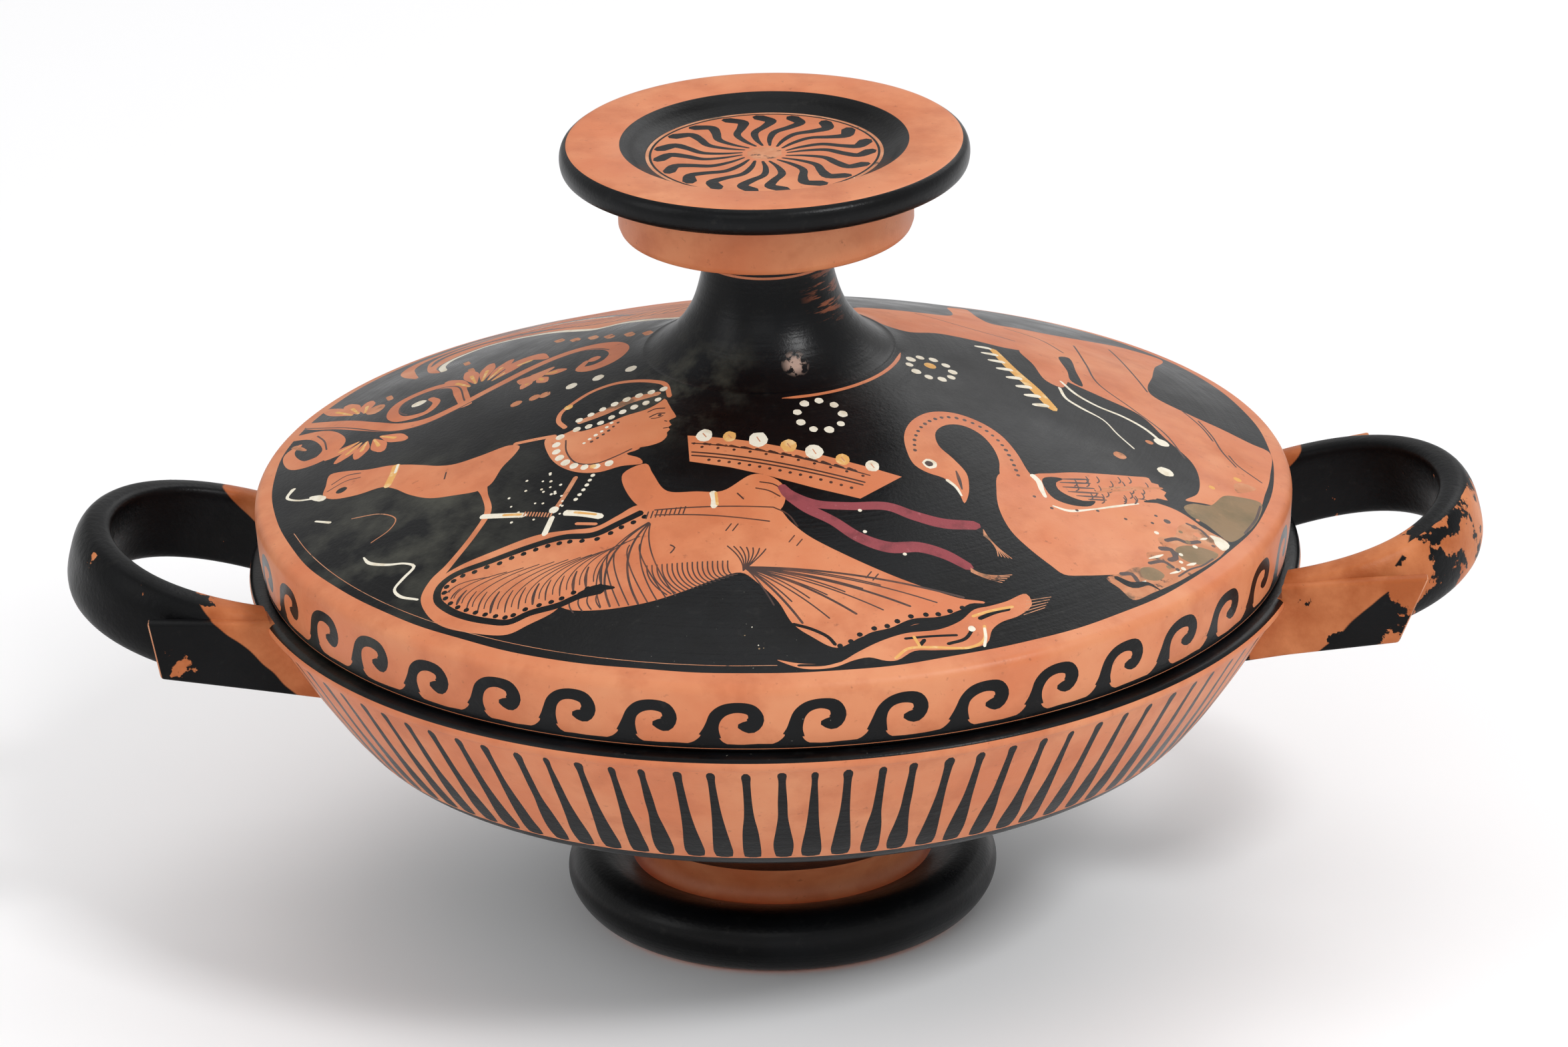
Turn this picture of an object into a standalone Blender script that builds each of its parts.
"""Lekanis: a shallow lidded bowl of painted, fired clay, with two strap handles.

Two pieces, each thrown and fired as one:
bowl  the bowl with its stepped lip, its disc foot and its two strap handles
lid   the domed lid with its upright rim, flaring stem and disc knob

Metres, +Z up. The origin is the middle of the resting face under the foot,
the handles lie along X and the picture's front faces -Y.
"""

import math

import bmesh
import bpy
from mathutils import Matrix, Vector

MM = 0.001

# Fineness of the turned surfaces and of the handles.
SEGMENTS = 48
STRAP_STATIONS = 22

# Gap between pieces that touch, so that each stays a solid of its own.
TOUCH_GAP = 0.0003

# Heights above the resting face.
LEDGE_HEIGHT = 0.0922
FLANGE_TOP = 0.0992
LID_EDGE_HEIGHT = 0.1100
DOME_TOP = 0.1447
KNOB_TOP = 0.1985

# Radii of the lip, of the lid and of the way that they fit.
LIP_RADIUS = 0.1280
LID_RADIUS = 0.1260
LID_RIM_INNER = 0.1190
LID_FIT_CLEARANCE = 0.0022
FLANGE_OUTER = LID_RIM_INNER - LID_FIT_CLEARANCE
FLANGE_THICKNESS = 0.0045
FLANGE_INNER = FLANGE_OUTER - FLANGE_THICKNESS
FLANGE_ROOT = LEDGE_HEIGHT - 0.0120
FLANGE_ROUND = 0.0012

# Foot and knob.
FOOT_RADIUS = 0.0528
FOOT_REST_OUTER = 0.0435
FOOT_REST_INNER = 0.0350
KNOB_RADIUS = 0.0493
BAND_RADIUS = 0.0356
STEM_RADIUS = 0.0152

# Strap handles: reach from the axis, half width, section and the slope at which they rise.
HANDLE_REACH = 0.1730
HANDLE_HALF_WIDTH = 0.0455
HANDLE_BEND_START = 0.1230
HANDLE_ROOT = 0.1060
STRAP_THICKNESS = 0.0086
STRAP_HEIGHT = 0.0195
SPUR_THICKNESS = 0.0036
HANDLE_PIVOT = 0.1200
SPUR_DROP = 0.0026

# The legs and spurs stand closer together towards the bowl: slope and where it sets in.
HANDLE_SPREAD = math.tan(math.radians(10.5))
SPREAD_START = 0.1600
SPREAD_ROUND = 0.0060
LID_TO_HANDLE_CLEARANCE = 0.0015


class Handle:
    """One strap handle with its two spurs.

    Args:
        side: +1 for the handle on +X, -1 for the one on -X.
        rise: slope of the loop's plane in degrees.
        pivot_height: height of the loop's middle at HANDLE_PIVOT.
        spur_height: height of the spurs' free ends.
        front_reach: reach of the front spur's top corner from the axis.
        back_reach: reach of the back spur's top corner from the axis.
        end_slant: how much shorter the spurs are along their lower edge.
        lean: degrees by which the loop's back stands higher than its front.
    """

    def __init__(self, side, rise, pivot_height, spur_height, front_reach, back_reach, end_slant, lean):
        self.side = side
        self.rise = math.radians(rise)
        self.pivot_height = pivot_height
        self.spur_height = spur_height
        self.front_reach = front_reach
        self.back_reach = back_reach
        self.end_slant = end_slant
        self.lean = math.radians(lean)

    def matrix(self):
        """Return the placing of the loop's own frame, x outward and z across the strap."""
        turn = Matrix.Rotation(0.0 if self.side > 0 else math.pi, 4, "Z")
        shift = Matrix.Translation(Vector((HANDLE_PIVOT, 0.0, self.pivot_height)))
        tilt = Matrix.Rotation(-self.rise, 4, "Y")
        roll = Matrix.Rotation(self.side * self.lean, 4, "X")
        return turn @ shift @ tilt @ roll


LEFT_HANDLE = Handle(-1, 14.0, 0.0842, 0.0142, 0.1525, 0.1520, 0.0062, 1.6)
RIGHT_HANDLE = Handle(1, 12.6, 0.0880, 0.0160, 0.1580, 0.1500, 0.0108, 3.2)


def clear_scene():
    """Remove every object that the scene starts with."""
    for item in list(bpy.data.objects):
        bpy.data.objects.remove(item, do_unlink=True)


def new_object(name, mesh_builder):
    """Make an object from a filled bmesh and link it to the scene."""
    mesh = bpy.data.meshes.new(name)
    mesh_builder.to_mesh(mesh)
    mesh_builder.free()
    item = bpy.data.objects.new(name, mesh)
    bpy.context.scene.collection.objects.link(item)
    return item


def turned(name, profile):
    """Turn a profile that starts and ends on the axis into one closed solid.

    Args:
        name: name of the new object.
        profile: (radius, height) pairs in metres, from the axis round to the axis.
    """
    work = bmesh.new()
    corners = [work.verts.new((radius, 0.0, height)) for radius, height in profile]
    edges = [work.edges.new(pair) for pair in zip(corners, corners[1:])]
    bmesh.ops.spin(
        work,
        geom=corners + edges,
        cent=(0.0, 0.0, 0.0),
        axis=(0.0, 0.0, 1.0),
        angle=2.0 * math.pi,
        steps=SEGMENTS,
        use_merge=True,
    )
    bmesh.ops.remove_doubles(work, verts=work.verts, dist=0.00001)
    bmesh.ops.recalc_face_normals(work, faces=work.faces)
    return new_object(name, work)


def in_metres(points):
    """Change (radius, height) pairs from millimetres to metres."""
    return [(radius * MM, height * MM) for radius, height in points]


def combine(target, tool, operation):
    """Join a tool to the target or cut the tool out of it, and remove the tool."""
    step = target.modifiers.new(operation, "BOOLEAN")
    step.operation = operation
    step.solver = "EXACT"
    step.object = tool
    graph = bpy.context.evaluated_depsgraph_get()
    result = bpy.data.meshes.new_from_object(target.evaluated_get(graph))
    target.modifiers.clear()
    target.data = result
    bpy.data.objects.remove(tool, do_unlink=True)


def bowl_outside():
    """Return the outside of the bowl and its foot, up to the level of the ledge."""
    foot = [
        (0.0, 22.0),
        (8.0, 21.0),
        (18.0, 17.0),
        (26.0, 10.5),
        (31.5, 3.4),
        (FOOT_REST_INNER / MM, 0.0),
        (FOOT_REST_OUTER / MM, 0.0),
        (47.2, 1.3),
        (50.7, 4.8),
        (FOOT_RADIUS / MM, 9.4),
        (52.1, 12.8),
        (49.8, 15.5),
        (46.0, 16.7),
        (42.0, 16.2),
        (36.4, 14.0),
        (34.4, 15.0),
        (33.8, 17.8),
        (35.4, 20.8),
    ]
    wall = [
        (42.0, 26.8),
        (51.0, 32.6),
        (62.0, 38.6),
        (74.0, 44.2),
        (86.0, 48.6),
        (95.0, 51.5),
        (101.0, 53.9),
        (105.4, 57.2),
        (109.6, 62.4),
        (114.0, 68.6),
        (118.4, 75.2),
        (122.6, 82.0),
    ]
    lip = [
        (126.5, LEDGE_HEIGHT / MM - 3.9),
        (LIP_RADIUS / MM, LEDGE_HEIGHT / MM - 2.0),
        (LIP_RADIUS / MM - 0.6, LEDGE_HEIGHT / MM - 0.4),
        (LIP_RADIUS / MM - 2.0, LEDGE_HEIGHT / MM),
    ]
    return foot + wall + lip


def bowl_top():
    """Return the ledge and the outside of the upright flange inside the lid."""
    return [
        (FLANGE_OUTER / MM, LEDGE_HEIGHT / MM),
        (FLANGE_OUTER / MM, FLANGE_TOP / MM - 1.2),
        (FLANGE_OUTER / MM - 1.3, FLANGE_TOP / MM),
    ]


def bowl_inside():
    """Return the inside of the bowl, from the flange's top to the middle of its floor."""
    return [
        ((FLANGE_INNER + FLANGE_ROUND) / MM, FLANGE_TOP / MM),
        (FLANGE_INNER / MM, FLANGE_TOP / MM - 1.4),
        (112.1, 87.0),
        (111.8, 79.4),
        (109.6, 72.4),
        (105.6, 65.6),
        (101.4, 60.8),
        (96.0, 57.8),
        (84.0, 53.6),
        (72.0, 49.0),
        (58.0, 42.8),
        (42.0, 36.0),
        (22.0, 31.6),
        (0.0, 30.6),
    ]


def lid_outside():
    """Return the outside of the lid, from the rim's lower edge up to the knob's middle."""
    rest = LEDGE_HEIGHT + TOUCH_GAP
    rim = [
        (123.6, rest / MM),
        (124.5, rest / MM + 0.9),
        (125.3, 98.0),
        (125.9, 104.0),
        (LID_RADIUS / MM, 107.4),
        (125.2, 109.6),
        (123.6, LID_EDGE_HEIGHT / MM + 0.5),
    ]
    dome = [
        (116.0, 113.6),
        (106.0, 117.8),
        (94.0, 122.6),
        (80.0, 127.9),
        (66.0, 133.0),
        (52.0, 137.9),
        (40.0, 141.8),
        (31.6, DOME_TOP / MM - 0.3),
        (30.6, DOME_TOP / MM + 0.4),
    ]
    stem = [
        (29.4, DOME_TOP / MM + 0.5),
        (26.0, 147.6),
        (21.9, 151.6),
        (18.5, 157.0),
        (16.4, 163.5),
        (15.5, 169.0),
        (STEM_RADIUS / MM, 173.4),
        (16.4, 175.4),
        (20.0, 176.3),
        (33.6, 176.7),
        (BAND_RADIUS / MM, 178.4),
        (BAND_RADIUS / MM, 187.6),
        (37.6, 189.8),
        (43.0, 191.0),
        (47.6, 191.8),
    ]
    knob = [
        (KNOB_RADIUS / MM, 193.6),
        (KNOB_RADIUS / MM, 196.6),
        (48.0, KNOB_TOP / MM - 0.2),
        (46.6, KNOB_TOP / MM),
        (34.6, KNOB_TOP / MM - 0.2),
        (33.2, KNOB_TOP / MM - 0.9),
        (29.6, KNOB_TOP / MM - 2.9),
        (27.8, KNOB_TOP / MM - 3.5),
        (0.0, KNOB_TOP / MM - 3.5),
    ]
    return rim + dome + stem + knob


def lid_inside():
    """Return the hollow under the lid, from the middle of the stem down to the rim."""
    return [
        (0.0, 171.0),
        (5.6, 169.6),
        (8.4, 164.0),
        (10.2, 157.4),
        (13.4, 150.0),
        (19.0, 143.2),
        (28.0, 138.8),
        (40.0, 135.9),
        (54.0, 131.7),
        (70.0, 126.1),
        (86.0, 120.2),
        (101.0, 114.2),
        (112.0, 109.4),
        (117.6, 105.4),
        (LID_RIM_INNER / MM, 100.0),
        (LID_RIM_INNER / MM, LEDGE_HEIGHT / MM + 2.0),
        (LID_RIM_INNER / MM + 1.2, (LEDGE_HEIGHT + TOUCH_GAP) / MM),
    ]


def strap_section():
    """Return the strap's section: (outward, upward) pairs, flat inside and rounded outside."""
    half = STRAP_THICKNESS / 2.0
    tall = STRAP_HEIGHT / 2.0
    shape = [
        (-0.80, 0.97),
        (-1.00, 0.82),
        (-1.00, -0.82),
        (-0.80, -0.97),
        (-0.10, -1.00),
        (0.55, -0.88),
        (0.92, -0.50),
        (1.00, 0.00),
        (0.92, 0.50),
        (0.55, 0.88),
        (-0.10, 1.00),
    ]
    return [(across * half, up * tall) for across, up in shape]


def strap_path():
    """Return the strap's middle line in the loop's plane, with its outward normal."""
    half_width = HANDLE_HALF_WIDTH - STRAP_THICKNESS / 2.0
    reach = HANDLE_REACH - STRAP_THICKNESS / 2.0 - HANDLE_BEND_START
    places = [Vector((HANDLE_ROOT, -half_width))]
    for index in range(STRAP_STATIONS + 1):
        angle = -math.pi / 2.0 + math.pi * index / STRAP_STATIONS
        places.append(Vector((HANDLE_BEND_START + reach * math.cos(angle), half_width * math.sin(angle))))
    places.append(Vector((HANDLE_ROOT, half_width)))
    for place in places:
        place.y *= 1.0 - inward(place.x) / half_width
    stations = []
    for index, place in enumerate(places):
        ahead = places[min(index + 1, len(places) - 1)] - places[max(index - 1, 0)]
        normal = Vector((ahead.y, -ahead.x)).normalized()
        stations.append((place.x, place.y, normal.x, normal.y))
    return stations


def inward(x):
    """Return how much closer to the middle a leg stands at this distance from the axis."""
    gap = SPREAD_START - x
    return HANDLE_SPREAD * (gap + math.sqrt(gap * gap + SPREAD_ROUND * SPREAD_ROUND)) / 2.0


def strap(handle):
    """Sweep the strap's section along its path and return the closed solid."""
    work = bmesh.new()
    rings = []
    for x, y, normal_x, normal_y in strap_path():
        ring = []
        for across, up in strap_section():
            place = Vector((x - HANDLE_PIVOT + normal_x * across, y + normal_y * across, up))
            ring.append(work.verts.new(place))
        rings.append(ring)
    count = len(rings[0])
    for first, second in zip(rings, rings[1:]):
        for index in range(count):
            following = (index + 1) % count
            work.faces.new((first[index], first[following], second[following], second[index]))
    work.faces.new(rings[0])
    work.faces.new(rings[-1])
    bmesh.ops.recalc_face_normals(work, faces=work.faces)
    bmesh.ops.transform(work, matrix=handle.matrix(), verts=work.verts)
    return new_object("strap", work)


def spur(handle, end, reach):
    """Build the flat plate that runs on past the point where the strap turns in.

    Args:
        handle: the handle that the spur belongs to.
        end: -1 for the side towards -Y in the loop's own frame, +1 for the other.
        reach: how far the plate's upper corner lies from the axis.
    """
    work = bmesh.new()
    outer = end * HANDLE_HALF_WIDTH
    inner = end * (HANDLE_HALF_WIDTH - SPUR_THICKNESS)
    root_half = STRAP_HEIGHT * 0.49
    tip_half = handle.spur_height / 2.0
    corners = [
        (HANDLE_ROOT - HANDLE_PIVOT, -root_half),
        (0.0, -root_half),
        (reach - handle.end_slant - HANDLE_PIVOT, -tip_half - SPUR_DROP),
        (reach - HANDLE_PIVOT, tip_half - SPUR_DROP),
        (0.0, root_half * 0.96),
        (HANDLE_ROOT - HANDLE_PIVOT, root_half * 0.96),
    ]
    plate = [work.verts.new((x, inner, z)) for x, z in corners]
    face = work.faces.new(plate)
    pushed = bmesh.ops.extrude_face_region(work, geom=[face])
    moved = [item for item in pushed["geom"] if isinstance(item, bmesh.types.BMVert)]
    bmesh.ops.translate(work, verts=moved, vec=(0.0, outer - inner, 0.0))
    for corner in work.verts:
        corner.co.y -= end * HANDLE_SPREAD * (SPREAD_START - HANDLE_PIVOT - corner.co.x)
    bmesh.ops.recalc_face_normals(work, faces=work.faces)
    bmesh.ops.bevel(
        work,
        geom=list(work.edges),
        offset=0.0006,
        segments=1,
        profile=0.5,
        affect="EDGES",
        material=-1,
    )
    bmesh.ops.recalc_face_normals(work, faces=work.faces)
    bmesh.ops.transform(work, matrix=handle.matrix(), verts=work.verts)
    return new_object("spur", work)


def lid_clearance():
    """Return the space over the ledge that the lid needs, for cutting the handles' roots."""
    radius = LID_RADIUS + LID_TO_HANDLE_CLEARANCE
    top = KNOB_TOP
    return turned("clearance", [(0.0, LEDGE_HEIGHT), (radius, LEDGE_HEIGHT), (radius, top), (0.0, top)])


def clay(name, colour, roughness):
    """Make the piece's material.

    Args:
        name: name of the material.
        colour: linear red, green and blue.
        roughness: roughness of the surface.
    """
    material = bpy.data.materials.new(name)
    material.use_nodes = True
    shader = material.node_tree.nodes["Principled BSDF"]
    shader.inputs["Base Color"].default_value = (*colour, 1.0)
    shader.inputs["Roughness"].default_value = roughness
    shader.inputs["Metallic"].default_value = 0.0
    return material


def shade(item):
    """Shade the rounded surfaces smooth and keep the crisp turned edges."""
    item.data.shade_smooth()
    item.data.set_sharp_from_angle(angle=math.radians(35.0))


def make_bowl():
    """Build the bowl with its foot and handles, hollow and open at the top."""
    outside = in_metres(bowl_outside())
    solid = turned("bowl", outside + [(0.0, LEDGE_HEIGHT)])
    for handle in (LEFT_HANDLE, RIGHT_HANDLE):
        combine(solid, strap(handle), "UNION")
        front_end = -1 if handle.side > 0 else 1
        combine(solid, spur(handle, front_end, handle.front_reach), "UNION")
        combine(solid, spur(handle, -front_end, handle.back_reach), "UNION")
    combine(solid, lid_clearance(), "DIFFERENCE")
    flange = turned(
        "flange",
        [(0.0, FLANGE_ROOT), (FLANGE_OUTER, FLANGE_ROOT)] + in_metres(bowl_top()) + [(0.0, FLANGE_TOP)],
    )
    combine(solid, flange, "UNION")
    hollow = turned("hollow", [(0.0, KNOB_TOP), (FLANGE_INNER + FLANGE_ROUND, KNOB_TOP)] + in_metres(bowl_inside()))
    combine(solid, hollow, "DIFFERENCE")
    solid.data.materials.clear()
    solid.data.materials.append(clay("painted clay bowl", (0.24, 0.085, 0.04), 0.45))
    shade(solid)
    return solid


def make_lid():
    """Build the lid as it rests on the bowl's ledge."""
    profile = in_metres(lid_inside()) + in_metres(lid_outside())
    lid = turned("lid", profile)
    lid.data.materials.append(clay("painted clay lid", (0.10, 0.05, 0.035), 0.4))
    shade(lid)
    return lid


def main():
    """Build both pieces."""
    clear_scene()
    make_bowl()
    make_lid()


main()
